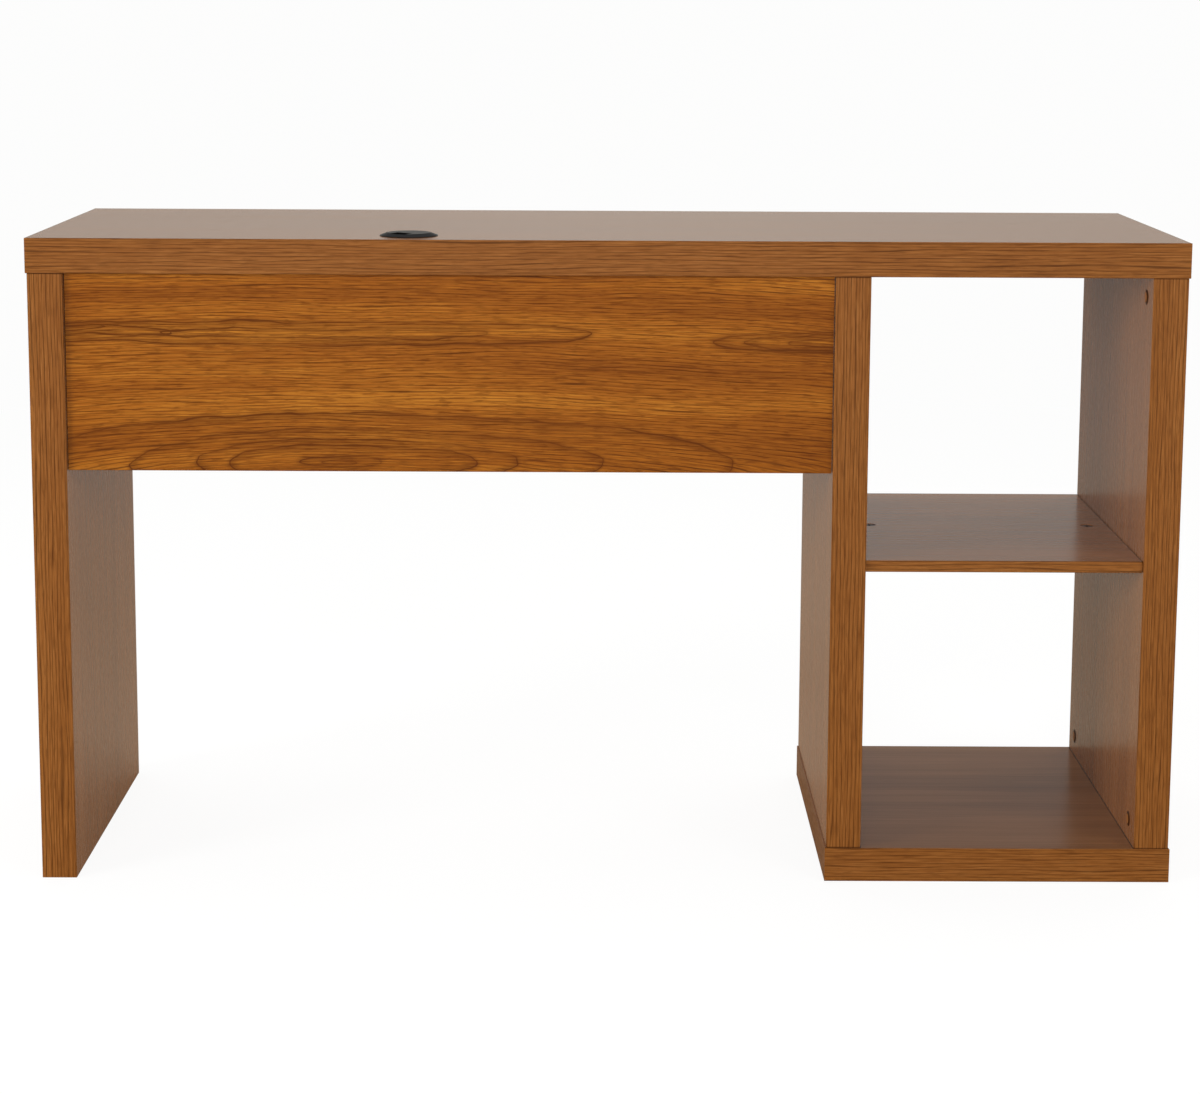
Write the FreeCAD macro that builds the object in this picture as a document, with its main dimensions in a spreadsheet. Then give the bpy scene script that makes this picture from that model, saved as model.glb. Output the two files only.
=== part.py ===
import FreeCAD, Part
import math
import os
import re

import Sketcher

# A flat-pack office desk in laminated board: five thick slabs, a thin shelf, a modesty panel, edge bands,
# knock-down fittings and a cable grommet. Millimetres, +Z up. The origin is on the floor under the middle
# of the top. The rear, with the modesty panel and the grommet, faces -Y, and the sitter's side faces +Y.
# Left (-X) and right (+X) are as seen from the rear, with the open shelf tower on the right.

SIZES = {
    # Whole desk
    "desk_length": 1250.0,
    "desk_depth": 400.0,
    "desk_height": 711.0,
    "slab_thickness": 38.0,
    # How far the top and the base stand proud of the uprights, all round
    "overhang": 1.5,
    # Clear width of the shelf tower
    "bay_width": 303.0,
    # Shelf
    "shelf_thickness": 12.7,
    "shelf_setback": 4.0,
    "shelf_end_gap": 0.5,
    # Modesty panel
    "modesty_height": 215.0,
    "modesty_thickness": 15.0,
    "modesty_setback": 6.0,
    "modesty_end_gap": 0.9,
    "modesty_top_gap": 0.3,
    # Edge bands and their eased corners
    "band_thickness": 1.0,
    "band_ease": 0.6,
    # Cam locks: the bore in the board's face, its distance from the board's end, the bolt's depth
    "cam_bore": 15.0,
    "cam_bore_depth": 10.6,
    "cam_end_distance": 24.0,
    "cam_axis_depth": 6.3,
    "cam_height": 9.8,
    "cam_sink": 0.6,
    "cam_slot_length": 9.0,
    "cam_slot_width": 1.8,
    "cam_slot_depth": 2.2,
    "cam_socket_reach": 4.0,
    # Cam bolts: rod, seated in the other board, neck and head
    "bolt_diameter": 6.0,
    "bolt_seat_depth": 11.0,
    "bolt_neck_diameter": 4.4,
    "bolt_head_diameter": 6.4,
    "bolt_head_length": 3.0,
    "bolt_hole": 8.0,
    # Wooden dowels
    "dowel_diameter": 8.0,
    "dowel_length": 30.0,
    "dowel_seat_depth": 11.0,
    "dowel_end_room": 0.5,
    # Clearance of a fitting in its bore, on the radius
    "fitting_clearance": 0.05,
    # Cam covers
    "cover_diameter": 17.0,
    "cover_crown": 1.1,
    "cover_crown_diameter": 11.0,
    # Places of the fittings: from the rear and front faces of an upright, and from an edge of a thin board
    "cam_edge_distance": 34.0,
    "shelf_dowel_edge_distance": 60.0,
    "modesty_dowel_edge_distance": 40.0,
    # Cable grommet: the sleeve's flange and tube, the ledge in it that carries the cap, and the cap
    "grommet_from_left": 408.0,
    "grommet_from_rear": 50.0,
    "flange_diameter": 63.0,
    "flange_height": 3.2,
    "flange_edge": 0.8,
    "sleeve_wall": 2.0,
    "sleeve_length": 24.0,
    "sleeve_clearance": 0.2,
    "ledge_depth": 6.4,
    "ledge_width": 1.0,
    "cap_diameter": 49.0,
    "cap_height": 9.6,
    "cap_thickness": 2.6,
    "cap_clearance": 0.3,
    "cap_edge_bevel": 0.8,
    "skirt_wall": 1.6,
    "notch_width": 20.0,
    "notch_inner_radius": 7.0,
    "notch_turn": 30.0,
    # Extra length of every cutting shape past the face that it leaves
    "overrun": 1.0,
}

# Places worked out from the sizes above, in the desk's own axes
PLACES = {
    "half_length": "desk_length / 2",
    "half_depth": "desk_depth / 2",
    "upright_top": "desk_height - slab_thickness",
    "upright_depth": "desk_depth - 2 * overhang",
    "upright_rear": "overhang - half_depth",
    "upright_front": "half_depth - overhang",
    "left_outer": "overhang - half_length",
    "left_inner": "left_outer + slab_thickness",
    "right_outer": "half_length - overhang",
    "right_inner": "right_outer - slab_thickness",
    "middle_right": "right_inner - bay_width",
    "middle_left": "middle_right - slab_thickness",
    "base_left": "middle_left - overhang",
    "shelf_length": "bay_width - 2 * shelf_end_gap",
    "shelf_bottom": "slab_thickness + (upright_top - slab_thickness - shelf_thickness) / 2",
    "shelf_top": "shelf_bottom + shelf_thickness",
    "shelf_rear": "upright_rear + shelf_setback",
    "shelf_depth": "upright_front - shelf_rear",
    "shelf_middle": "shelf_rear + shelf_depth / 2",
    "modesty_left": "left_inner + modesty_end_gap",
    "modesty_right": "middle_left - modesty_end_gap",
    "modesty_length": "modesty_right - modesty_left",
    "modesty_top": "upright_top - modesty_top_gap",
    "modesty_bottom": "modesty_top - modesty_height",
    "modesty_middle": "modesty_top - modesty_height / 2",
    "modesty_rear": "upright_rear + modesty_setback",
    "modesty_front": "modesty_rear + modesty_thickness",
    "cam_rear": "upright_rear + cam_edge_distance",
    "cam_front": "upright_front - cam_edge_distance",
    "dowel_end_depth": "dowel_length - dowel_seat_depth + 2 * dowel_end_room",
    "bolt_seat_bore": "bolt_diameter + 2 * fitting_clearance",
    "dowel_bore": "dowel_diameter + 2 * fitting_clearance",
    "grommet_x": "grommet_from_left - half_length",
    "grommet_y": "grommet_from_rear - half_depth",
    "cap_radius": "cap_diameter / 2",
    "cap_foot": "cap_clearance - ledge_depth",
    "cap_top": "cap_foot + cap_height",
    "cap_mouth_radius": "cap_radius + cap_clearance",
    "sleeve_bore_radius": "cap_mouth_radius - ledge_width",
    "sleeve_radius": "cap_mouth_radius + sleeve_wall",
    "grommet_bore": "2 * (sleeve_radius + sleeve_clearance)",
}

SQUARE_TURN = 90
HALF_TURN = 180
FULL_TURN = 360
MIDDLE_SHARE = 0.5

# Bolts, dowels and their bores are out of sight and have six flat sides. Each corner is given as its shares
# of the radius along the two axes of the section.
SECTION_SIDES = 6
CORNER_TURNS = [2 * math.pi * i / SECTION_SIDES for i in range(SECTION_SIDES)]
CORNER_SHARES = [(round(math.cos(turn), 9), round(math.sin(turn), 9)) for turn in CORNER_TURNS]

X_AXIS = FreeCAD.Vector(1, 0, 0)
Y_AXIS = FreeCAD.Vector(0, 1, 0)
Z_AXIS = FreeCAD.Vector(0, 0, 1)
NO_TURN = FreeCAD.Rotation()

doc = FreeCAD.newDocument("office_desk")
sheet = doc.addObject("Spreadsheet::Sheet", "Sizes")
for row, (alias, size) in enumerate(SIZES.items(), start=1):
    sheet.set(f"A{row}", alias)
    sheet.set(f"B{row}", str(size))
    sheet.setAlias(f"B{row}", alias)
doc.recompute()

nodes = []


def formula(text):
    """Writes a sum of named sizes and places as an expression on the sheet's cells."""

    def word(match):
        name = match.group()
        if name in PLACES:
            return f"({formula(PLACES[name])})"
        return f"Sizes.{name}" if name in SIZES else name

    return re.sub(r"[a-z_]+", word, text)


def minus(text, other):
    return f"({text}) - ({other})"


def bind(item, name, text):
    item.setExpression(name, formula(text))


def place(item, spot, turn=NO_TURN):
    """Turns a piece and ties its place to three sums of named sizes."""
    item.Placement = FreeCAD.Placement(FreeCAD.Vector(), turn)
    for axis, text in zip("xyz", spot):
        bind(item, f"Placement.Base.{axis}", text)


def node(item, label):
    item.Label = label
    nodes.append(item)
    return item


def gather(label, pieces):
    """One node from pieces that stay separate solids."""
    group = doc.addObject("Part::Compound", label)
    group.Links = pieces
    return node(group, label)


def new_body(name):
    return doc.addObject("PartDesign::Body", name)


def new_sketch(body, name, plane="XY_Plane", offset="0"):
    """A sketch parallel to one of the body's own planes."""
    sketch = body.newObject("Sketcher::SketchObject", f"{body.Name}_{name}")
    support = next(f for f in body.Origin.OriginFeatures if f.Role == plane)
    sketch.AttachmentSupport = [(support, "")]
    sketch.MapMode = "FlatFace"
    bind(sketch, "AttachmentOffset.Base.z", offset)
    return sketch


def value_of(text):
    return float(sheet.evalExpression(formula(text)))


def pin_point(sketch, geometry, point, spot):
    """Ties one point of a sketch to its two sums of named sizes."""
    for kind, axis, text in zip(("DistanceX", "DistanceY"), (-2, -1), spot):
        if text == "0":
            sketch.addConstraint(Sketcher.Constraint("PointOnObject", geometry, point, axis))
            continue
        size = value_of(text)
        index = sketch.addConstraint(Sketcher.Constraint(kind, -1, 1, geometry, point, size))
        bind(sketch, f"Constraints[{index}]", text)


def outline(sketch, corners):
    """A closed outline of straight lines through corners written as sums of named sizes."""
    points = [FreeCAD.Vector(value_of(x), value_of(y), 0) for x, y in corners]
    count = len(points)
    lines = [Part.LineSegment(points[i], points[(i + 1) % count]) for i in range(count)]
    first = sketch.addGeometry(lines[0])
    for line in lines[1:]:
        sketch.addGeometry(line)
    for i in range(count):
        after = (i + 1) % count
        sketch.addConstraint(Sketcher.Constraint("Coincident", first + i, 2, first + after, 1))
    for i, corner in enumerate(corners):
        pin_point(sketch, first + i, 1, corner)


def circles(sketch, diameter, spots):
    """Equal circles at spots written as sums of named sizes."""
    for spot in spots:
        centre = FreeCAD.Vector(value_of(spot[0]), value_of(spot[1]), 0)
        index = sketch.addGeometry(Part.Circle(centre, Z_AXIS, value_of(diameter) / 2))
        size = sketch.addConstraint(Sketcher.Constraint("Diameter", index, value_of(diameter)))
        bind(sketch, f"Constraints[{size}]", diameter)
        pin_point(sketch, index, 3, spot)


def flat_sided(sketch, diameter, spots):
    """Equal sections with flat sides at spots, their corners on circles of the diameter."""
    for spot in spots:
        for_corner = [zip(spot, shares) for shares in CORNER_SHARES]
        outline(sketch, [
            [f"{middle} + {share} * ({diameter}) / 2" if share else middle for middle, share in pairs]
            for pairs in for_corner
        ])


def pad(body, sketch, length):
    feature = body.newObject("PartDesign::Pad", f"{sketch.Name}_pad")
    feature.Profile = sketch
    bind(feature, "Length", length)
    doc.recompute()
    return feature


def pocket(body, sketch, depth, away=False):
    """Cuts against the sketch's normal, or along it where away is true, and makes sure that it cut."""
    before = body.Shape.Volume
    feature = body.newObject("PartDesign::Pocket", f"{sketch.Name}_pocket")
    feature.Profile = sketch
    feature.Reversed = away
    bind(feature, "Length", depth)
    doc.recompute()
    if not body.Shape.Volume < before:
        raise RuntimeError(f"{feature.Name} cut nothing")
    return feature


def turned(name, corners):
    """A body of revolution about Z from corners given as radius and height."""
    body = new_body(name)
    sketch = new_sketch(body, "section", "XZ_Plane")
    outline(sketch, corners)
    feature = body.newObject("PartDesign::Revolution", f"{name}_turn")
    feature.Profile = sketch
    feature.ReferenceAxis = (sketch, ["V_Axis"])
    feature.Angle = FULL_TURN
    doc.recompute()
    return body


def rod(name, steps):
    """A rod along Z from flat-sided steps, each given as diameter, foot and head."""
    body = new_body(name)
    for number, (diameter, foot, head) in enumerate(steps, start=1):
        sketch = new_sketch(body, f"step_{number}", offset=foot)
        flat_sided(sketch, diameter, [("0", "0")])
        pad(body, sketch, minus(head, foot))
    return body


# Each face of a board: the plane its bores are drawn on, the axis across it, whether it is the far face of
# that axis, the sign of the plane's normal on the axis, and the two axes along the plane
FACES = {
    "bottom": ("XY_Plane", 2, False, 1, (0, 1)),
    "top": ("XY_Plane", 2, True, 1, (0, 1)),
    "rear": ("XZ_Plane", 1, False, -1, (0, 2)),
    "front": ("XZ_Plane", 1, True, -1, (0, 2)),
    "left": ("YZ_Plane", 0, False, 1, (1, 2)),
    "right": ("YZ_Plane", 0, True, 1, (1, 2)),
}


class Board:
    """A rectangular board with bores drilled into its faces, placed by its lowest corner."""

    def __init__(self, label, corner, size):
        self.corner = corner
        self.size = size
        self.bores = 0
        self.body = node(new_body(label), label)
        sketch = new_sketch(self.body, "face")
        outline(sketch, [("0", "0"), (size[0], "0"), (size[0], size[1]), ("0", size[1])])
        pad(self.body, sketch, size[2])
        place(self.body, corner)

    def drill(self, face, diameter, depth, spots, section=flat_sided):
        """Sinks equal bores into a face at spots given in the desk's axes."""
        plane, across, far, sign, along = FACES[face]
        offset = "0"
        if far:
            offset = self.size[across] if sign > 0 else f"-({self.size[across]})"
        self.bores += 1
        sketch = new_sketch(self.body, f"bores_{self.bores}", plane, offset)
        a, b = along
        section(sketch, diameter, [(minus(u, self.corner[a]), minus(v, self.corner[b])) for u, v in spots])
        pocket(self.body, sketch, depth, away=far == (sign < 0))


def band(name, length, width, spot, turn):
    """An edge band: length along its X, glued by its +Y face, with the two corners of its -Y face eased."""
    body = new_body(name)
    sketch = new_sketch(body, "face")
    corners = [("0", "0"), (length, "0"), (length, "band_thickness"), ("0", "band_thickness")]
    outline(sketch, corners)
    strip = pad(body, sketch, width)
    eased = []
    for number, edge in enumerate(strip.Shape.Edges, start=1):
        box = edge.BoundBox
        if box.XLength > box.ZLength and box.YMax < strip.Shape.BoundBox.YMax * MIDDLE_SHARE:
            eased.append(f"Edge{number}")
    feature = body.newObject("PartDesign::Chamfer", f"{name}_ease")
    feature.Base = (strip, eased)
    bind(feature, "Size", "band_ease")
    doc.recompute()
    place(body, spot, turn)
    return body


REAR_FACING = NO_TURN
FRONT_FACING = FreeCAD.Rotation(Z_AXIS, HALF_TURN)
LEFT_FACING = FreeCAD.Rotation(Z_AXIS, -SQUARE_TURN)
RIGHT_FACING = FreeCAD.Rotation(Z_AXIS, SQUARE_TURN)
DOWN_FACING = FreeCAD.Rotation(X_AXIS, SQUARE_TURN)
UPRIGHT_REAR_FACING = FreeCAD.Rotation(Y_AXIS, -SQUARE_TURN)
UPRIGHT_FRONT_FACING = FreeCAD.Rotation(X_AXIS + Z_AXIS, HALF_TURN)


def slab_bands(label, left, right, bottom):
    """Bands round all four edges of a level slab."""
    length = minus(right, left)
    end_length = "desk_depth - 2 * band_thickness"
    thick = "slab_thickness"
    near = "band_thickness - half_depth"
    far = "half_depth - band_thickness"
    gather(label, [
        band(f"{label}_rear", length, thick, (left, "-half_depth", bottom), REAR_FACING),
        band(f"{label}_front", length, thick, (right, "half_depth", bottom), FRONT_FACING),
        band(f"{label}_left", end_length, thick, (left, far, bottom), LEFT_FACING),
        band(f"{label}_right", end_length, thick, (right, near, bottom), RIGHT_FACING),
    ])


def upright_bands(label, left, right, bottom):
    """Bands on the rear and front edges of an upright slab."""
    height = minus("upright_top", bottom)
    thick = "slab_thickness"
    gather(label, [
        band(f"{label}_rear", height, thick, (right, "upright_rear", bottom), UPRIGHT_REAR_FACING),
        band(f"{label}_front", height, thick, (left, "upright_front", bottom), UPRIGHT_FRONT_FACING),
    ])


def level_slab(label, left, right, bottom):
    """A level slab inside its four bands."""
    corner = (f"{left} + band_thickness", "band_thickness - half_depth", bottom)
    size = (
        minus(f"{right} - 2 * band_thickness", left),
        "desk_depth - 2 * band_thickness",
        "slab_thickness",
    )
    slab_bands(f"{label}_edge_bands", left, right, bottom)
    return Board(label, corner, size)


def upright_slab(label, left, right, bottom):
    """An upright slab between its rear and front bands."""
    corner = (left, "upright_rear + band_thickness", bottom)
    size = ("slab_thickness", "upright_depth - 2 * band_thickness", minus("upright_top", bottom))
    upright_bands(f"{label}_edge_bands", left, right, bottom)
    return Board(label, corner, size)


# The boards
desk_top = level_slab("desk_top", "-half_length", "half_length", "upright_top")
base_panel = level_slab("base_panel", "base_left", "half_length", "0")
left_end_panel = upright_slab("left_end_panel", "left_outer", "left_inner", "0")
middle_panel = upright_slab("middle_panel", "middle_left", "middle_right", "slab_thickness")
right_end_panel = upright_slab("right_end_panel", "right_inner", "right_outer", "slab_thickness")

shelf_left = "middle_right + shelf_end_gap"
shelf_right = "right_inner - shelf_end_gap"
shelf = Board(
    "shelf",
    (shelf_left, "shelf_rear + band_thickness", "shelf_bottom"),
    ("shelf_length", "shelf_depth - 2 * band_thickness", "shelf_thickness"),
)
gather("shelf_edge_bands", [
    band("shelf_rear_band", "shelf_length", "shelf_thickness",
         (shelf_left, "shelf_rear", "shelf_bottom"), REAR_FACING),
    band("shelf_front_band", "shelf_length", "shelf_thickness",
         (shelf_right, "upright_front", "shelf_bottom"), FRONT_FACING),
])

modesty_panel = Board(
    "modesty_panel",
    ("modesty_left", "modesty_rear", "modesty_bottom + band_thickness"),
    ("modesty_length", "modesty_thickness", "modesty_height - band_thickness"),
)
node(
    band("modesty_edge_band", "modesty_length", "modesty_thickness",
         ("modesty_left", "modesty_front", "modesty_bottom"), DOWN_FACING),
    "modesty_edge_band",
)


def make_cam():
    """A cam lock: a drum with a driver's cross in its face and a socket in its side for the bolt's head.

    Its Z axis points out of the board's face, which is at zero, and its X axis points at the bolt.
    """
    radius = "(cam_bore / 2 - fitting_clearance)"
    body = new_body("cam_lock")
    sketch = new_sketch(body, "drum", offset="-cam_sink - cam_height")
    circles(sketch, f"2 * {radius}", [("0", "0")])
    pad(body, sketch, "cam_height")
    long_side = "cam_slot_length / 2"
    short_side = "cam_slot_width / 2"
    for name, across, along in (("slot", short_side, long_side), ("cross_slot", long_side, short_side)):
        sketch = new_sketch(body, name, offset="-cam_sink")
        low_x, low_y = f"-({across})", f"-({along})"
        outline(sketch, [(low_x, low_y), (across, low_y), (across, along), (low_x, along)])
        pocket(body, sketch, "cam_slot_depth")
    sketch = new_sketch(body, "socket", "YZ_Plane", "-cam_socket_reach")
    side = "(bolt_head_diameter / 2 + fitting_clearance)"
    low, high = f"-cam_axis_depth - {side}", f"-cam_axis_depth + {side}"
    outline(sketch, [(f"-{side}", low), (side, low), (side, high), (f"-{side}", high)])
    pocket(body, sketch, f"cam_socket_reach + {radius} + overrun", away=True)
    return body


def make_bolt(name, gap):
    """A cam bolt along Z: its foot is below the board's face at zero, its rod ends at the cam's bore, and its
    neck and head are in the cam's socket."""
    cam_axis = f"cam_end_distance + {gap}"
    rod_top = f"{cam_axis} - cam_bore / 2"
    neck_top = f"{cam_axis} - bolt_head_length / 2"
    return rod(name, [
        ("bolt_diameter", "-bolt_seat_depth", rod_top),
        ("bolt_neck_diameter", rod_top, neck_top),
        ("bolt_head_diameter", neck_top, f"{neck_top} + bolt_head_length"),
    ])


def make_dowel():
    """A wooden dowel along Z, seated below the board's face at zero."""
    foot = "dowel_end_room - dowel_seat_depth"
    return rod("dowel", [("dowel_diameter", foot, f"{foot} + dowel_length")])


def make_cover():
    """A cam cover on Z: a low crowned disc on the board's face, over the mouth of the bore."""
    return turned("cam_cover", [
        ("0", "0"),
        ("cover_diameter / 2", "0"),
        ("cover_crown_diameter / 2", "cover_crown"),
        ("0", "cover_crown"),
    ])


cam_lock = make_cam()
cam_bolt = make_bolt("cam_bolt", "0")
shelf_cam_bolt = make_bolt("shelf_cam_bolt_pattern", "shelf_end_gap")
modesty_cam_bolt = make_bolt("modesty_cam_bolt_pattern", "modesty_end_gap")
dowel = make_dowel()
cam_cover = make_cover()


def copies(label, pattern, spots):
    """One node of equal fittings, each at its own place and turn."""
    pieces = []
    for number, (spot, turn) in enumerate(spots, start=1):
        piece = doc.addObject("App::Link", f"{label}_{number}")
        piece.LinkedObject = pattern
        place(piece, spot, turn)
        pieces.append(piece)
    return gather(label, pieces)


def facing(out, bolt):
    """The turn that points a cam's Z axis along out and its X axis along bolt."""
    return FreeCAD.Rotation(bolt, out.cross(bolt), out, "XYZ")


UP = NO_TURN
DOWN = FreeCAD.Rotation(X_AXIS, HALF_TURN)
TO_RIGHT = FreeCAD.Rotation(Y_AXIS, Z_AXIS, X_AXIS, "XYZ")
TO_LEFT = FreeCAD.Rotation(Y_AXIS, -Z_AXIS, -X_AXIS, "XYZ")

# Uprights to the top and to the base: two cams and a dowel between them at each end. Each upright has its
# cams in one face: the left one towards the kneehole, and the other two towards the shelf tower.
UPRIGHTS = (
    (left_end_panel, "right", "left_inner", "left_outer", X_AXIS, False),
    (middle_panel, "right", "middle_right", "middle_left", X_AXIS, True),
    (right_end_panel, "left", "right_inner", "right_outer", -X_AXIS, True),
)
cam_rows = ("cam_rear", "cam_front")
top_fittings = {"cams": [], "bolts": [], "dowels": []}
base_fittings = {"cams": [], "bolts": [], "dowels": []}

for board, cam_face, inner, outer, out, on_base in UPRIGHTS:
    inward = "-" if out == X_AXIS else "+"
    bolt_x = f"{inner} {inward} cam_axis_depth"
    dowel_x = f"({inner} + {outer}) / 2"
    ends = [("top", "upright_top", "-", -Z_AXIS, top_fittings, DOWN)]
    if on_base:
        ends.append(("bottom", "slab_thickness", "+", Z_AXIS, base_fittings, UP))
    for end, end_z, sign, bolt_way, fittings, stand in ends:
        cam_z = f"{end_z} {sign} cam_end_distance"
        board.drill(cam_face, "cam_bore", "cam_bore_depth", [(y, cam_z) for y in cam_rows], circles)
        board.drill(end, "bolt_hole", "cam_end_distance", [(bolt_x, y) for y in cam_rows])
        board.drill(end, "dowel_bore", "dowel_end_depth", [(dowel_x, "0")])
        cam_turn = facing(out, -bolt_way)
        fittings["cams"] += [((inner, y, cam_z), cam_turn) for y in cam_rows]
        fittings["bolts"] += [((bolt_x, y, end_z), stand) for y in cam_rows]
        fittings["dowels"].append(((dowel_x, "0", end_z), stand))

for family, board, face, fittings in (
    ("top", desk_top, "bottom", top_fittings),
    ("base", base_panel, "top", base_fittings),
):
    board.drill(face, "bolt_seat_bore", "bolt_seat_depth", [spot[:2] for spot, _ in fittings["bolts"]])
    board.drill(face, "dowel_bore", "dowel_seat_depth", [spot[:2] for spot, _ in fittings["dowels"]])
    copies(f"{family}_joint_cams", cam_lock, fittings["cams"])
    copies(f"{family}_joint_cam_covers", cam_cover, fittings["cams"])
    copies(f"{family}_joint_bolts", cam_bolt, fittings["bolts"])
    copies(f"{family}_joint_dowels", dowel, fittings["dowels"])

# Shelf to the middle and right uprights: one cam in the shelf's upper face and two dowels at each end
shelf_bolt_z = "shelf_top - cam_axis_depth"
shelf_dowel_z = "shelf_bottom + shelf_thickness / 2"
shelf_dowel_rows = (
    "shelf_rear + shelf_dowel_edge_distance",
    "upright_front - shelf_dowel_edge_distance",
)
shelf_cams, shelf_bolts, shelf_dowels = [], [], []
for board, face, shelf_end, end_x, upright_x, sign, bolt_way, lie in (
    (middle_panel, "right", "left", shelf_left, "middle_right", "+", -X_AXIS, TO_RIGHT),
    (right_end_panel, "left", "right", shelf_right, "right_inner", "-", X_AXIS, TO_LEFT),
):
    cam_x = f"{end_x} {sign} cam_end_distance"
    shelf.drill("top", "cam_bore", "cam_bore_depth", [(cam_x, "shelf_middle")], circles)
    shelf.drill(shelf_end, "bolt_hole", "cam_end_distance", [("shelf_middle", shelf_bolt_z)])
    dowel_spots = [(y, shelf_dowel_z) for y in shelf_dowel_rows]
    shelf.drill(shelf_end, "dowel_bore", "dowel_end_depth", dowel_spots)
    board.drill(face, "bolt_seat_bore", "bolt_seat_depth", [("shelf_middle", shelf_bolt_z)])
    board.drill(face, "dowel_bore", "dowel_seat_depth", dowel_spots)
    shelf_cams.append(((cam_x, "shelf_middle", "shelf_top"), facing(Z_AXIS, bolt_way)))
    shelf_bolts.append(((upright_x, "shelf_middle", shelf_bolt_z), lie))
    shelf_dowels += [((upright_x, y, shelf_dowel_z), lie) for y in shelf_dowel_rows]
copies("shelf_joint_cams", cam_lock, shelf_cams)
copies("shelf_joint_bolts", shelf_cam_bolt, shelf_bolts)
copies("shelf_joint_dowels", dowel, shelf_dowels)

# Modesty panel to the left and middle uprights: one cam in its sitter's side and two dowels at each end
modesty_bolt_y = "modesty_front - cam_axis_depth"
modesty_dowel_y = "modesty_rear + modesty_thickness / 2"
modesty_dowel_rows = (
    "modesty_bottom + modesty_dowel_edge_distance",
    "modesty_top - modesty_dowel_edge_distance",
)
modesty_cams, modesty_bolts, modesty_dowels = [], [], []
for board, face, panel_end, end_x, upright_x, sign, bolt_way, lie in (
    (left_end_panel, "right", "left", "modesty_left", "left_inner", "+", -X_AXIS, TO_RIGHT),
    (middle_panel, "left", "right", "modesty_right", "middle_left", "-", X_AXIS, TO_LEFT),
):
    cam_x = f"{end_x} {sign} cam_end_distance"
    modesty_panel.drill("front", "cam_bore", "cam_bore_depth", [(cam_x, "modesty_middle")], circles)
    modesty_panel.drill(panel_end, "bolt_hole", "cam_end_distance", [(modesty_bolt_y, "modesty_middle")])
    dowel_spots = [(modesty_dowel_y, z) for z in modesty_dowel_rows]
    modesty_panel.drill(panel_end, "dowel_bore", "dowel_end_depth", dowel_spots)
    board.drill(face, "bolt_seat_bore", "bolt_seat_depth", [(modesty_bolt_y, "modesty_middle")])
    board.drill(face, "dowel_bore", "dowel_seat_depth", dowel_spots)
    modesty_cams.append(((cam_x, "modesty_front", "modesty_middle"), facing(Y_AXIS, bolt_way)))
    modesty_bolts.append(((upright_x, modesty_bolt_y, "modesty_middle"), lie))
    modesty_dowels += [((upright_x, modesty_dowel_y, z), lie) for z in modesty_dowel_rows]
copies("modesty_joint_cams", cam_lock, modesty_cams)
copies("modesty_joint_bolts", modesty_cam_bolt, modesty_bolts)
copies("modesty_joint_dowels", dowel, modesty_dowels)


def make_sleeve():
    """The grommet's sleeve: a bevelled flange on the top and a tube below, with a ledge in it for the cap."""
    return turned("grommet_sleeve", [
        ("sleeve_bore_radius", "-sleeve_length"),
        ("sleeve_radius", "-sleeve_length"),
        ("sleeve_radius", "0"),
        ("flange_diameter / 2", "0"),
        ("flange_diameter / 2", "flange_edge"),
        ("cap_mouth_radius", "flange_height"),
        ("cap_mouth_radius", "-ledge_depth"),
        ("sleeve_bore_radius", "-ledge_depth"),
    ])


def make_cap():
    """The grommet's cap: a disc with a skirt that stands on the sleeve's ledge, and a cable notch."""
    inside = "cap_radius - skirt_wall"
    body = turned("grommet_cap", [
        ("0", "cap_top - cap_thickness"),
        (inside, "cap_top - cap_thickness"),
        (inside, "cap_foot"),
        ("cap_radius", "cap_foot"),
        ("cap_radius", "cap_top - cap_edge_bevel"),
        ("cap_radius - cap_edge_bevel", "cap_top"),
        ("0", "cap_top"),
    ])
    half_notch = "notch_width / 2"
    sketch = new_sketch(body, "notch", offset="cap_top + overrun")
    inner, outer = "-notch_inner_radius", "-(cap_radius + overrun)"
    outline(sketch, [
        (f"-{half_notch}", outer),
        (half_notch, outer),
        (half_notch, inner),
        (f"-{half_notch}", inner),
    ])
    pocket(body, sketch, "cap_height + 2 * overrun")
    return body


grommet_spot = ("grommet_x", "grommet_y", "desk_height")
desk_top.drill("top", "grommet_bore", "slab_thickness", [grommet_spot[:2]], circles)
grommet_sleeve = node(make_sleeve(), "grommet_sleeve")
place(grommet_sleeve, grommet_spot)
grommet_cap = node(make_cap(), "grommet_cap")
place(grommet_cap, grommet_spot, FreeCAD.Rotation(-Z_AXIS, SQUARE_TURN))
bind(grommet_cap, "Placement.Rotation.Angle", "notch_turn")

doc.recompute()
for item in doc.Objects:
    if "Invalid" in item.State or "Error" in item.State:
        raise RuntimeError(f"{item.Label} failed: {item.State}")
for item in nodes:
    if item.Shape.isNull() or not item.Shape.isValid():
        raise RuntimeError(f"{item.Label} has no valid shape")

os.makedirs("parts", exist_ok=True)
for item in nodes:
    item.Shape.exportStep(f"parts/{item.Label}.step")
    print(item.Label, len(item.Shape.Solids), round(item.Shape.Volume))
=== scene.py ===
import math

import bpy
from mathutils import Matrix, Vector

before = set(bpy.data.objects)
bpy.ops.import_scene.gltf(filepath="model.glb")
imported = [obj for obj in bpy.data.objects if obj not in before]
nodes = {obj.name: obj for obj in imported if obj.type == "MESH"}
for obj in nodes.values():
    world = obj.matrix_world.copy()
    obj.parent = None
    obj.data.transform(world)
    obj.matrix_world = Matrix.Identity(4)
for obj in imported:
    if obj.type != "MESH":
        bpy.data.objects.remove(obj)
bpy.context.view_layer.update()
scene = bpy.context.scene

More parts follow.
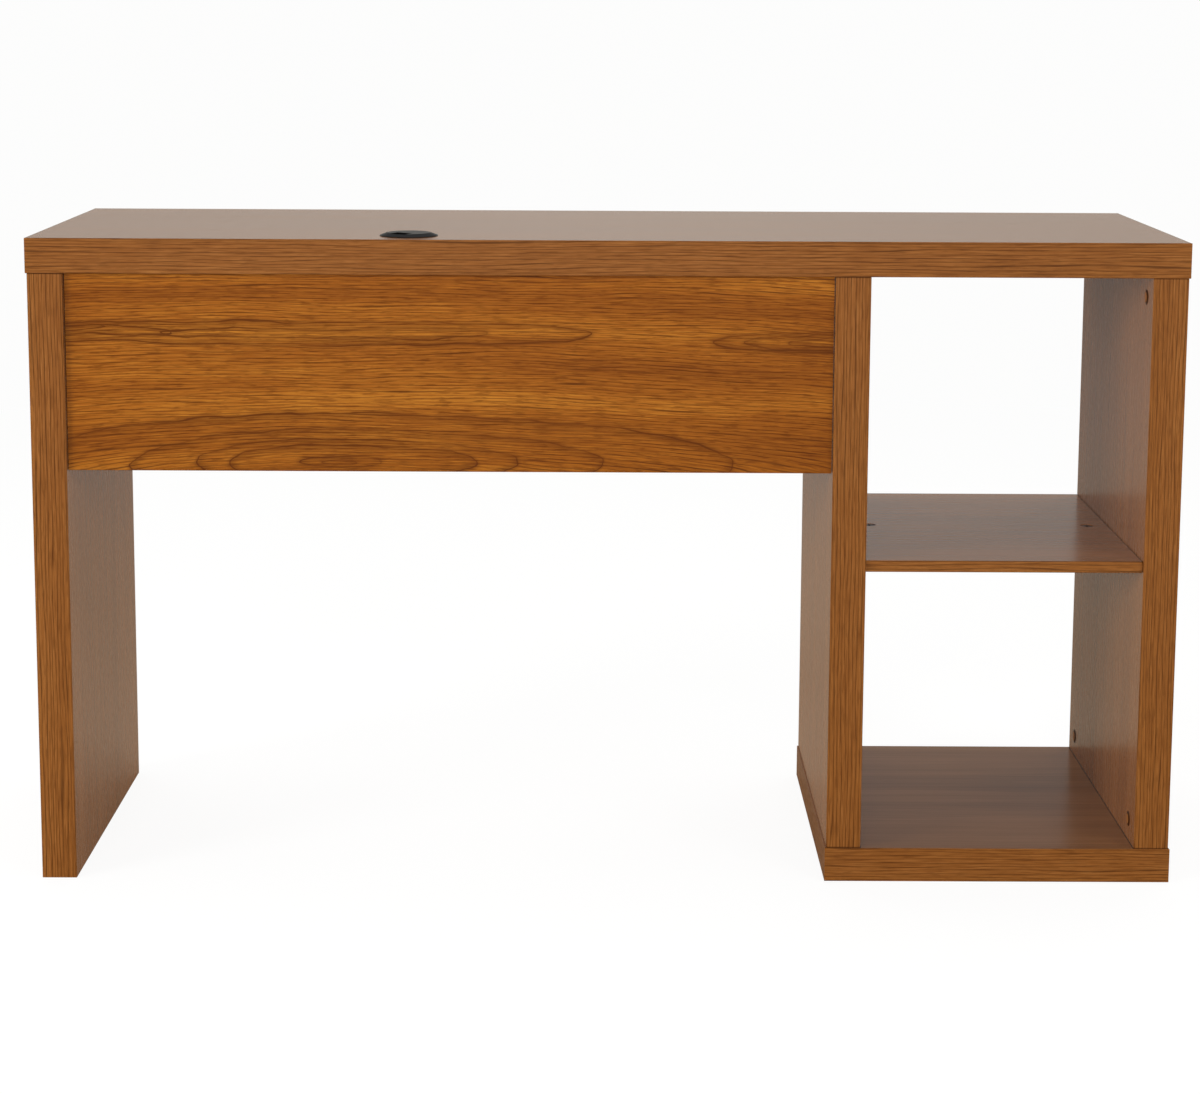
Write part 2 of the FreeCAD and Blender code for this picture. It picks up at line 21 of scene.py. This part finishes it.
# Camera: place in metres, turns in degrees, sensor and focal length in millimetres
CAMERA_PLACE = (-0.0156, -2.9706, 0.9648)
CAMERA_YAW, CAMERA_PITCH, CAMERA_ROLL = 0.150, 8.283, -0.286
CAMERA_SENSOR = 36.0
CAMERA_LENS = 77.945
CAMERA_SHIFT = -0.14

yaw, pitch, roll = (math.radians(a) for a in (CAMERA_YAW, CAMERA_PITCH, CAMERA_ROLL))
ahead = Vector((math.sin(yaw) * math.cos(pitch), math.cos(yaw) * math.cos(pitch), -math.sin(pitch)))
level = Vector((math.cos(yaw), -math.sin(yaw), 0.0))
down = ahead.cross(level)
right = math.cos(roll) * level + math.sin(roll) * down
up = math.sin(roll) * level - math.cos(roll) * down
turn = Matrix((right, up, -ahead)).transposed().to_4x4()
camera_data = bpy.data.cameras.new("camera")
camera_data.sensor_width = CAMERA_SENSOR
camera_data.lens = CAMERA_LENS
camera_data.shift_y = CAMERA_SHIFT
camera = bpy.data.objects.new("camera", camera_data)
camera.matrix_world = Matrix.Translation(CAMERA_PLACE) @ turn
scene.collection.objects.link(camera)
scene.camera = camera
scene.view_settings.view_transform = "Standard"

# Colour sockets of a Mix node, which share their names with its other sockets
MIX_A, MIX_B, MIX_RESULT = 6, 7, 2


class Net:
    """A node tree with short calls for its nodes. An input is a number, a colour or a node's output."""

    def __init__(self, tree):
        self.tree = tree
        self.tree.nodes.clear()

    def add(self, kind, inputs=None, **settings):
        node = self.tree.nodes.new(kind)
        for name, value in settings.items():
            setattr(node, name, value)
        for key, value in (inputs or {}).items():
            self.feed(node.inputs[key], value)
        return node

    def feed(self, socket, value):
        if isinstance(value, bpy.types.NodeSocket):
            self.tree.links.new(value, socket)
        else:
            socket.default_value = value

    def math(self, operation, a, b=0.0, c=0.0):
        return self.add("ShaderNodeMath", {0: a, 1: b, 2: c}, operation=operation).outputs[0]

    def plus(self, a, b):
        return self.math("ADD", a, b)

    def minus(self, a, b):
        return self.math("SUBTRACT", a, b)

    def times(self, a, b):
        return self.math("MULTIPLY", a, b)

    def most(self, a, b):
        return self.math("MAXIMUM", a, b)

    def size(self, a):
        return self.math("ABSOLUTE", a)

    def scaled(self, a, factor, offset):
        return self.math("MULTIPLY_ADD", a, factor, offset)

    def hypot(self, a, b):
        return self.math("SQRT", self.plus(self.times(a, a), self.times(b, b)))

    def choose(self, test, yes, no):
        """Gives yes where the test is 1, and no where it is 0."""
        return self.plus(self.times(test, yes), self.times(self.minus(1.0, test), no))

    def coordinate(self, kind):
        return self.add("ShaderNodeTexCoord").outputs[kind]

    def join(self, x, y, z):
        return self.add("ShaderNodeCombineXYZ", {"X": x, "Y": y, "Z": z}).outputs[0]

    def split(self, vector):
        return self.add("ShaderNodeSeparateXYZ", {0: vector}).outputs

    def noise(self, vector, scale, detail, roughness=0.5):
        inputs = {"Vector": vector, "Scale": scale, "Detail": detail, "Roughness": roughness}
        return self.add("ShaderNodeTexNoise", inputs).outputs["Fac"]

    def span(self, value, low, high, to_low=0.0, to_high=1.0):
        """Maps low to high smoothly onto to_low to to_high, and holds the ends."""
        inputs = {"Value": value, "From Min": low, "From Max": high, "To Min": to_low, "To Max": to_high}
        node = self.add("ShaderNodeMapRange", inputs, interpolation_type="SMOOTHSTEP")
        return node.outputs["Result"]

    def ramp(self, value, stops):
        node = self.add("ShaderNodeValToRGB", {"Fac": value})
        ramp = node.color_ramp
        while len(ramp.elements) < len(stops):
            ramp.elements.new(0.5)
        for element, (place, colour) in zip(ramp.elements, stops):
            element.position = place
            element.color = (*colour, 1.0)
        return node.outputs["Color"]

    def tint(self, colour, shade, share):
        """Mixes a share of a shade into a colour."""
        inputs = {"Factor": share, MIX_A: colour, MIX_B: shade}
        return self.add("ShaderNodeMix", inputs, data_type="RGBA").outputs[MIX_RESULT]

    def bump(self, height, depth, strength):
        inputs = {"Height": height, "Distance": depth, "Strength": strength}
        return self.add("ShaderNodeBump", inputs).outputs[0]

    def shader(self, colour, roughness, normal, **plain):
        inputs = {"Base Color": colour, "Roughness": roughness, "Normal": normal}
        inputs.update({name.replace("_", " "): value for name, value in plain.items()})
        bsdf = self.add("ShaderNodeBsdfPrincipled", inputs)
        self.add("ShaderNodeOutputMaterial", {"Surface": bsdf.outputs[0]})


def material(name):
    made = bpy.data.materials.new(name)
    made.use_nodes = True
    return made, Net(made.node_tree)


def dress(made, *names):
    for name in names:
        mesh = nodes[name].data
        mesh.materials.clear()
        mesh.materials.append(made)


# Noise layers that make up a wood: each reads its own slice of the noise
SLICES = {
    "slow": 0.0, "quick": 3.0, "coarse": 5.0, "pores": 9.0, "tone": 11.0, "fine": 15.0,
    "arch": 21.0, "drift": 25.0, "patch": 27.0, "shake": 31.0, "ripple": 33.0,
}
# Waves per metre, along and across the grain, of the layers that are alike in every wood
SLOW, QUICK, RIPPLE, SHAKE = (2.2, 9.0), (11.0, 60.0), (14.0, 50.0), (9.0, 30.0)
TONE, ARCH_PATCH = (1.6, 28.0), (7.0, 40.0)
# The other layers are finer or broader by these factors than the wood's own fibre and strand
FINE, DRIFT, THREAD_PATCH = (1.7, 2.1), (1.0, 0.35), (4.0, 0.8)

# A face is turned towards an axis where its normal has more than this along it
TURNED = 0.6
# Shares of the wobble in long and short bends, and the share of these bends that arches follow
SLOW_BEND, QUICK_BEND, ARCH_BEND = 2.0, 0.25, 0.3
# How far arches ripple across the grain and shake along it, in metres
ARCH_RIPPLE, ARCH_SHAKE = 0.012, 0.05
# A ring's dark line, and its soft shade outside and inside the line, in metres
RING_LINE = (0.0002, 0.0016)
RING_OUTSIDE, RING_INSIDE, RING_SHADE = 0.0040, 0.0110, 0.55
# Least ring and slope to divide by, and how far below an arch the middle of the bent grain lies
LEAST_RING, LEAST_SLOPE, FOLLOW_BELOW = 0.0005, 0.03, 0.05
# Noise that makes an arch weak or strong, and its strengths
ARCH_NOISE, ARCH_STRENGTH = (0.35, 0.62), (0.55, 0.95)
# Noise that makes a thread weak or strong, and its half width and drift in spaces between threads
THREAD_NOISE, THREAD_WIDTH, THREAD_DRIFT = (0.38, 0.62), 0.20, 2.4
# Noise at the edge of a pore and in it, noise over which the gloss changes, and the bump's strength
PORE_NOISE, GLOSS_NOISE, WOOD_BUMP = (0.50, 0.64), (0.15, 0.75), 0.6
# Shares of coarse and fine streaks, and of the palette's darkest shade in lines and in stains
COARSE_SHARE, FINE_SHARE = 0.55, 0.45
DARK, STAIN = 0.45, 0.75
# A seam's painted shadow, its widths in metres, and its strength
SEAM_SHADOW_WIDTH, SEAM_SHADE = (0.0005, 0.0016), 0.8


# Wood and wood-look laminate. u runs along the grain and v across it, both in metres.
# streak, cloud, tick and thread say how strong each kind of grain is. fibre, strand and pits say how fine
# it is, in waves per metre. even is the share of its strength that a thread keeps where it is weakest.
# An arch is a set of growth rings cut lengthwise: its middle, how slim its rings are to each side, and
# their sizes. With follow, the grain bends round the first arch.
def wood(name, grain, palette, seed, streak, cloud, tick, thread, gloss, specular, wobble=0.010,
         fibre=(14.0, 560.0), strand=(4.0, 300.0), pits=(40.0, 850.0), even=0.2, relief=0.000002,
         arches=(), arch=1.0, follow=False, seam_shadows=()):
    made, net = material(name)
    x, y, z = net.split(net.coordinate("Object"))
    facing = net.split(net.coordinate("Normal"))
    sideways = net.math("GREATER_THAN", net.size(facing[0]), TURNED)
    flat = net.math("GREATER_THAN", net.size(facing[2]), TURNED)
    if grain == "x":
        u, v = x, net.choose(flat, y, z)
    elif grain == "z":
        u, v = z, net.choose(sideways, y, x)
    else:
        u, v = net.choose(sideways, y, x), net.choose(flat, y, z)

    def layer(kind, waves, detail, roughness=0.5, line=v):
        place = net.join(net.times(u, waves[0]), net.times(line, waves[1]), seed + SLICES[kind])
        return net.noise(place, 1.0, detail, roughness)

    def finer(waves, factors):
        return factors[0] * waves[0], factors[1] * waves[1]

    slow = net.minus(layer("slow", SLOW, detail=2.0), 0.5)
    quick = net.minus(layer("quick", QUICK, detail=2.0), 0.5)
    ripple = net.minus(layer("ripple", RIPPLE, detail=2.0), 0.5)
    lift = net.plus(net.times(slow, SLOW_BEND * wobble), net.times(quick, QUICK_BEND * wobble))
    run = net.plus(v, lift)
    bent = net.plus(v, net.scaled(lift, ARCH_BEND, net.times(ripple, ARCH_RIPPLE)))
    shake = layer("shake", SHAKE, detail=2.0)
    shaken = net.scaled(shake, ARCH_SHAKE, net.minus(u, 0.5 * ARCH_SHAKE))
    dark, stain = ((*(share * c for c in palette[0][1]), 1.0) for share in (DARK, STAIN))

    # Arches: each ring ends in a thin dark line with a soft inner side
    lines = None
    for middle_u, middle_v, slim_below, slim_above, sizes in arches:
        away = net.minus(shaken, middle_u)
        slim = net.choose(net.math("LESS_THAN", away, 0.0), slim_below, slim_above)
        along = net.times(away, slim)
        across = net.minus(bent, middle_v)
        ring = net.hypot(along, across)
        steep = net.hypot(net.times(along, slim), across)
        slope = net.math("DIVIDE", steep, net.most(ring, LEAST_RING))
        if follow and lines is None:
            smooth = net.times(net.minus(u, middle_u), slim)
            run = net.plus(net.hypot(smooth, net.plus(net.minus(v, middle_v), FOLLOW_BELOW)), lift)
        for size in sizes:
            inside = net.math("DIVIDE", net.minus(size, ring), net.most(slope, LEAST_SLOPE))
            core = net.span(net.size(inside), *RING_LINE, 1.0, 0.0)
            halo = net.times(net.span(inside, -RING_OUTSIDE, 0.0),
                             net.span(inside, 0.0, RING_INSIDE, RING_SHADE, 0.0))
            line = net.most(core, halo)
            lines = line if lines is None else net.most(lines, line)

    # Straight grain: broad tones under long fine streaks
    tone = layer("tone", TONE, detail=1.5, line=run)
    coarse = layer("coarse", fibre, detail=2.0, roughness=0.60, line=run)
    fine = layer("fine", finer(fibre, FINE), detail=1.0, line=run)
    streaks = net.plus(net.times(coarse, COARSE_SHARE), net.times(fine, FINE_SHARE))
    shade = net.plus(net.scaled(tone, cloud, 0.5 - 0.5 * cloud),
                     net.scaled(streaks, streak, -0.5 * streak))
    colour = net.ramp(shade, palette)

    # Threads: thin dark lines that run on between the streaks
    drift = layer("drift", finer(strand, DRIFT), detail=1.0, line=run)
    wave = net.math("FRACT", net.scaled(drift, THREAD_DRIFT, net.times(run, strand[1])))
    wire = net.span(net.size(net.minus(wave, 0.5)), 0.0, THREAD_WIDTH, 1.0, 0.0)
    patch = layer("patch", finer(strand, THREAD_PATCH), detail=1.0, line=run)
    patch = net.span(patch, *THREAD_NOISE, even * thread, thread)
    colour = net.tint(colour, dark, net.times(wire, patch))

    if lines is not None:
        weak, strong = (share * arch for share in ARCH_STRENGTH)
        strength = net.span(layer("arch", ARCH_PATCH, detail=2.0), *ARCH_NOISE, weak, strong)
        colour = net.tint(colour, stain, net.times(lines, strength))

    # Pores: short dark ticks along the grain
    pore = net.span(layer("pores", pits, detail=2.0, roughness=0.6, line=run), *PORE_NOISE)
    colour = net.tint(colour, stain, net.times(pore, tick))

    # Seams: painted shadow of the eased edges at a joint, a hair of dark colour where one board meets the
    # next
    for axis, at in seam_shadows:
        # Painted shadow: darker colour within a millimetre or so of each seam
        seam_distance = net.size(net.minus({"x": x, "y": y, "z": z}[axis], at))
        colour = net.tint(colour, dark, net.span(seam_distance, *SEAM_SHADOW_WIDTH, SEAM_SHADE, 0.0))

    rough = net.span(net.plus(net.times(tone, 0.5), net.times(pore, 0.5)), *GLOSS_NOISE, *gloss)
    height = net.minus(net.times(streaks, 0.5), pore)
    net.shader(colour, rough, net.bump(height, relief, WOOD_BUMP), Specular_IOR_Level=specular)
    return made


def shades(dark, middle, light):
    return [(0.0, dark), (0.5, middle), (1.0, light)]


# Palettes: laminate of the boards, of the base, of the edge bands and of the modesty panel, and beech. The
# base's laminate is the boards' made darker and less red: painted shade of the dim lower bay.
FACE = shades((0.195, 0.066, 0.016), (0.290, 0.110, 0.032), (0.395, 0.160, 0.052))
SHADED_BASE = shades((0.168, 0.061, 0.016), (0.249, 0.102, 0.032), (0.340, 0.149, 0.052))
BAND = shades((0.110, 0.030, 0.0032), (0.230, 0.081, 0.0160), (0.366, 0.154, 0.039))
PANEL = shades((0.118, 0.0275, 0.0016), (0.264, 0.0790, 0.0056), (0.456, 0.174, 0.0178))
BEECH = shades((0.42, 0.26, 0.13), (0.55, 0.37, 0.20), (0.66, 0.47, 0.28))

# Grain of each kind of piece
LEVEL_GRAIN = dict(streak=1.2, cloud=0.9, tick=0.05, thread=0.25, gloss=(0.22, 0.25), specular=0.45,
                   fibre=(4.0, 360.0), strand=(3.0, 220.0), arch=0.30)
UPRIGHT_GRAIN = dict(streak=0.6, cloud=0.8, tick=0.02, thread=0.10, gloss=(0.25, 0.28), specular=0.45,
                     fibre=(3.0, 110.0), strand=(2.0, 110.0), arch=0.15)
MODESTY_GRAIN = dict(streak=1.5, cloud=1.2, tick=0.50, thread=0.85, gloss=(0.40, 0.50), specular=0.13,
                     fibre=(20.0, 640.0), strand=(5.0, 280.0), pits=(48.0, 620.0), even=0.50,
                     relief=0.00005)
BAND_GRAIN = dict(streak=1.3, cloud=0.35, tick=0.38, thread=0.80, gloss=(0.36, 0.46), specular=0.15,
                  wobble=0.004, fibre=(20.0, 620.0), strand=(5.0, 250.0), pits=(40.0, 640.0), even=0.6,
                  relief=0.00005)
DOWEL_GRAIN = dict(streak=0.8, cloud=0.5, tick=0.3, thread=0.2, gloss=(0.55, 0.70), specular=0.4)

LEVEL_ARCHES = [
    (-0.400, 0.075, 0.045, 0.060, (0.004, 0.011, 0.019, 0.031, 0.040)),
    (0.160, -0.060, 0.050, 0.042, (0.006, 0.010, 0.020, 0.027)),
    (0.440, 0.050, 0.085, 0.070, (0.003, 0.008, 0.013, 0.022)),
]
UPRIGHT_ARCHES = [
    (0.100, 0.040, 0.060, 0.055, (0.005, 0.012, 0.020, 0.029)),
    (0.480, -0.050, 0.070, 0.060, (0.004, 0.010, 0.019, 0.026)),
]
MODESTY_ARCHES = [
    (-0.2945, 0.4680, 0.165, 0.125, (0.0030, 0.0065, 0.0187, 0.0250, 0.0360, 0.0540)),
    (-0.2260, 0.6085, 0.022, 0.060, (0.0057, 0.0126)),
    (-0.6200, 0.6120, 0.050, 0.050, (0.0039,)),
    (-0.5600, 0.6095, 0.050, 0.060, (0.0052,)),
    (0.3840, 0.6000, 0.050, 0.050, (0.0093, 0.0116, 0.0135)),
]

# Seams lie where the uprights meet the base and the top, and where level boards meet the uprights; a
# painted shadow runs along each
BASE_FACE, TOP_UNDERSIDE = 0.038, 0.673
TOP_SEAM = (("z", TOP_UNDERSIDE),)
BOTH_SEAMS = (("z", BASE_FACE), ("z", TOP_UNDERSIDE))
BASE_SEAMS = (("x", 0.2825), ("x", 0.5855))
SHELF_SEAMS = (("x", 0.283), ("x", 0.585))

for seed, name, palette, seam_shadows in ((1.0, "desk_top", FACE, ()),
                                   (14.0, "base_panel", SHADED_BASE, BASE_SEAMS),
                                   (23.0, "shelf", FACE, SHELF_SEAMS)):
    made = wood(f"laminate_{name}", "x", palette, seed, **LEVEL_GRAIN, arches=LEVEL_ARCHES, seam_shadows=seam_shadows)
    dress(made, name)
for seed, name, seam_shadows in ((31.0, "left_end_panel", TOP_SEAM),
                          (43.0, "middle_panel", BOTH_SEAMS),
                          (57.0, "right_end_panel", BOTH_SEAMS)):
    made = wood(f"laminate_{name}", "z", FACE, seed, **UPRIGHT_GRAIN, arches=UPRIGHT_ARCHES, seam_shadows=seam_shadows)
    dress(made, name)
dress(wood("laminate_modesty", "x", PANEL, 71.0, **MODESTY_GRAIN, arches=MODESTY_ARCHES, follow=True),
      "modesty_panel", "modesty_edge_band")
dress(wood("edge_band_level", "level", BAND, 83.0, **BAND_GRAIN),
      "desk_top_edge_bands", "base_panel_edge_bands", "shelf_edge_bands")
# The uprights' bands differ in seed and in where their painted seam shadows lie
dress(wood("edge_band_upright_2", "z", BAND, 97.0, **BAND_GRAIN, seam_shadows=BOTH_SEAMS),
      "middle_panel_edge_bands", "right_end_panel_edge_bands")
dress(wood("edge_band_upright_1", "z", BAND, 101.0, **BAND_GRAIN, seam_shadows=TOP_SEAM),
      "left_end_panel_edge_bands")
dress(wood("dowel_beech", "z", BEECH, 113.0, **DOWEL_GRAIN),
      "top_joint_dowels", "base_joint_dowels")
dress(wood("dowel_beech_level", "x", BEECH, 127.0, **DOWEL_GRAIN),
      "shelf_joint_dowels", "modesty_joint_dowels")

# Plastics and metals: clouds per metre, the shares of clouds and specks in the colour, and the noise that
# counts as low and high
CLOUDS, CLOUD_SHARE, SPECK_SHARE = 60.0, 0.6, 0.4
MIDDLE_NOISE, MOULDED_BUMP = (0.3, 0.7), 0.5
# The crown of a disc that faces along X tilts from that axis at its rim, where painted shade darkens it
RIM_TILT = (0.96, 0.99)


# A base colour with clouds, and a fine grain in the gloss and the bump. A disc may have its sloping rim
# painted darker, a painted shade for the shadowed outline round it.
def moulded(name, low, high, gloss, grain, depth, shaded_rim=None, **plain):
    made, net = material(name)
    place = net.coordinate("Object")
    cloud = net.noise(place, CLOUDS, detail=3.0)
    speck = net.noise(place, grain, detail=2.0, roughness=0.6)
    mix = net.plus(net.times(cloud, CLOUD_SHARE), net.times(speck, SPECK_SHARE))
    colour = net.ramp(net.span(mix, *MIDDLE_NOISE), [(0.0, low), (1.0, high)])
    # Painted shade: a darker colour where the disc's crown tilts away at its rim
    if shaded_rim:
        facing = net.split(net.coordinate("Normal"))
        colour = net.tint(colour, (*shaded_rim, 1.0), net.span(net.size(facing[0]), *RIM_TILT, 1.0, 0.0))
    rough = net.span(speck, *MIDDLE_NOISE, *gloss)
    net.shader(colour, rough, net.bump(speck, depth, MOULDED_BUMP), **plain)
    return made


dress(moulded("cover_plastic", (0.300, 0.112, 0.028), (0.380, 0.150, 0.040), gloss=(0.48, 0.60),
              grain=1800.0, depth=0.00003, shaded_rim=(0.050, 0.016, 0.004), Specular_IOR_Level=0.2),
      "top_joint_cam_covers", "base_joint_cam_covers")
dress(moulded("grommet_plastic", (0.003, 0.003, 0.0032), (0.007, 0.007, 0.0075), gloss=(0.30, 0.40),
              grain=2200.0, depth=0.00001, Specular_IOR_Level=0.13),
      "grommet_sleeve", "grommet_cap")
# Zinc made darker than bare zinc: partly the metal's colour, partly painted shade of the bores the cams sit
# in
dress(moulded("cam_zinc", (0.20, 0.20, 0.20), (0.38, 0.37, 0.36), gloss=(0.34, 0.52),
              grain=900.0, depth=0.00006, Metallic=1.0),
      "top_joint_cams", "base_joint_cams", "shelf_joint_cams", "modesty_joint_cams")
dress(moulded("bolt_steel", (0.42, 0.41, 0.38), (0.62, 0.60, 0.55), gloss=(0.22, 0.38),
              grain=1300.0, depth=0.00003, Metallic=1.0),
      "top_joint_bolts", "base_joint_bolts", "shelf_joint_bolts", "modesty_joint_bolts")

# Stage: a pale floor just under the desk and a pale surround, both duller in reflections and bounced light
FLOOR_HALF, FLOOR_HEIGHT = 300.0, -0.0004
WHITE = (0.980, 0.980, 0.977)
# The floor's colours near the desk and far from it, and how far from the middle they change, in metres. In
# reflections and bounced light it is warmer and a little darker near the desk: painted shade of the floor
# under the desk.
BOUNCE_NEAR, BOUNCE_FAR, BOUNCE_CHANGE = (0.53, 0.47, 0.37), (0.52, 0.50, 0.46), (0.7, 3.5)
GLOW_NEAR, SHADED_NEAR, SHADED_FAR, GLOW_CHANGE = (0.892, 0.892, 0.889), (0.15,) * 3, (0.0,) * 3, (1.2, 3.4)
# The surround's colours by height, from the horizon at 0 up to 1
SKY = [
    (0.0, (0.79, 0.76, 0.68)), (0.09, (0.79, 0.76, 0.68)), (0.18, (0.57, 0.57, 0.56)),
    (0.22, (0.72, 0.71, 0.67)), (0.28, (0.14, 0.14, 0.14)), (0.80, (0.60, 0.60, 0.60)),
]
# It is dimmer behind the camera and a little dimmer to the sides: the direction's range and the strengths
REAR_DIM, SIDE_DIM = (-0.6, 0.2, 0.45, 1.0), (0.0, 0.25, 1.0, 0.90)

corners = [(x * FLOOR_HALF, y * FLOOR_HALF, FLOOR_HEIGHT) for x, y in ((-1, -1), (1, -1), (1, 1), (-1, 1))]
floor_mesh = bpy.data.meshes.new("floor")
floor_mesh.from_pydata(corners, [], [(0, 1, 2, 3)])
floor = bpy.data.objects.new("floor", floor_mesh)
scene.collection.objects.link(floor)
made, net = material("floor_paint")
seen = net.add("ShaderNodeLightPath").outputs["Is Camera Ray"]
reach = net.add("ShaderNodeVectorMath", {0: net.coordinate("Object")}, operation="LENGTH").outputs["Value"]
# Painted shade: the floor seen in reflections and bounced light is darker and warmer near the desk
bounce = net.ramp(net.span(reach, *BOUNCE_CHANGE), [(0.0, BOUNCE_NEAR), (1.0, BOUNCE_FAR)])
matt = net.add("ShaderNodeBsdfDiffuse", {"Color": bounce}).outputs[0]
fade = net.span(reach, *GLOW_CHANGE)
glow = net.ramp(fade, [(0.0, GLOW_NEAR), (1.0, WHITE)])
glow = net.add("ShaderNodeEmission", {"Color": glow}).outputs[0]
shaded = net.ramp(fade, [(0.0, SHADED_NEAR), (1.0, SHADED_FAR)])
shaded = net.add("ShaderNodeBsdfDiffuse", {"Color": shaded}).outputs[0]
pale = net.add("ShaderNodeAddShader", {0: glow, 1: shaded}).outputs[0]
paint = net.add("ShaderNodeMixShader", {0: seen, 1: matt, 2: pale}).outputs[0]
net.add("ShaderNodeOutputMaterial", {"Surface": paint})
floor_mesh.materials.append(made)

world = bpy.data.worlds.new("surround")
scene.world = world
world.use_nodes = True
net = Net(world.node_tree)
seen = net.add("ShaderNodeLightPath").outputs["Is Camera Ray"]
sight = net.split(net.coordinate("Generated"))
sky = net.tint(net.ramp(sight[2], SKY), (*WHITE, 1.0), seen)
strength = net.times(net.span(sight[1], *REAR_DIM), net.span(net.size(sight[0]), *SIDE_DIM))
strength = net.most(strength, seen)
backdrop = net.add("ShaderNodeBackground", {"Color": sky, "Strength": strength}).outputs[0]
net.add("ShaderNodeOutputWorld", {"Surface": backdrop})


# Lights: what the near ones point at, and how wide a far one looks and where it hangs
MIDDLE, LOW_MIDDLE = (0.0, 0.0, 0.4), (0.0, 0.0, 0.3)
FAR_ANGLE, FAR_PLACE = math.radians(35.0), (0.0, 0.0, 3.0)


# All are large and soft, and left out of reflections
def hang(name, data, place, heading):
    lamp = bpy.data.objects.new(name, data)
    lamp.location = place
    lamp.rotation_euler = Vector(heading).to_track_quat("-Z", "Y").to_euler()
    lamp.visible_glossy = False
    scene.collection.objects.link(lamp)


def soft_light(name, place, target, size, power):
    data = bpy.data.lights.new(name, "AREA")
    data.shape = "DISK"
    data.size = size
    data.energy = power
    hang(name, data, place, Vector(target) - Vector(place))


def far_light(name, heading, strength):
    data = bpy.data.lights.new(name, "SUN")
    data.angle = FAR_ANGLE
    data.energy = strength
    hang(name, data, FAR_PLACE, heading)


soft_light("key", (-3.9, -2.9, 1.3), MIDDLE, size=2.0, power=118.0)
soft_light("fill", (3.0, -3.6, 1.5), MIDDLE, size=2.4, power=62.0)
soft_light("broad", (-0.3, -5.0, 1.8), MIDDLE, size=3.0, power=112.0)
soft_light("overhead", (0.0, 1.2, 4.2), MIDDLE, size=3.0, power=10.0)
soft_light("front_left", (-3.0, 3.4, 3.4), LOW_MIDDLE, size=2.4, power=21.0)
soft_light("front_right", (3.0, 3.4, 3.4), LOW_MIDDLE, size=2.4, power=21.0)
far_light("front", (0.0, -1.0, -0.12), strength=0.9)
far_light("side_left", (1.0, 0.0, -0.15), strength=0.4)
far_light("side_right", (-1.0, 0.0, -0.15), strength=0.6)
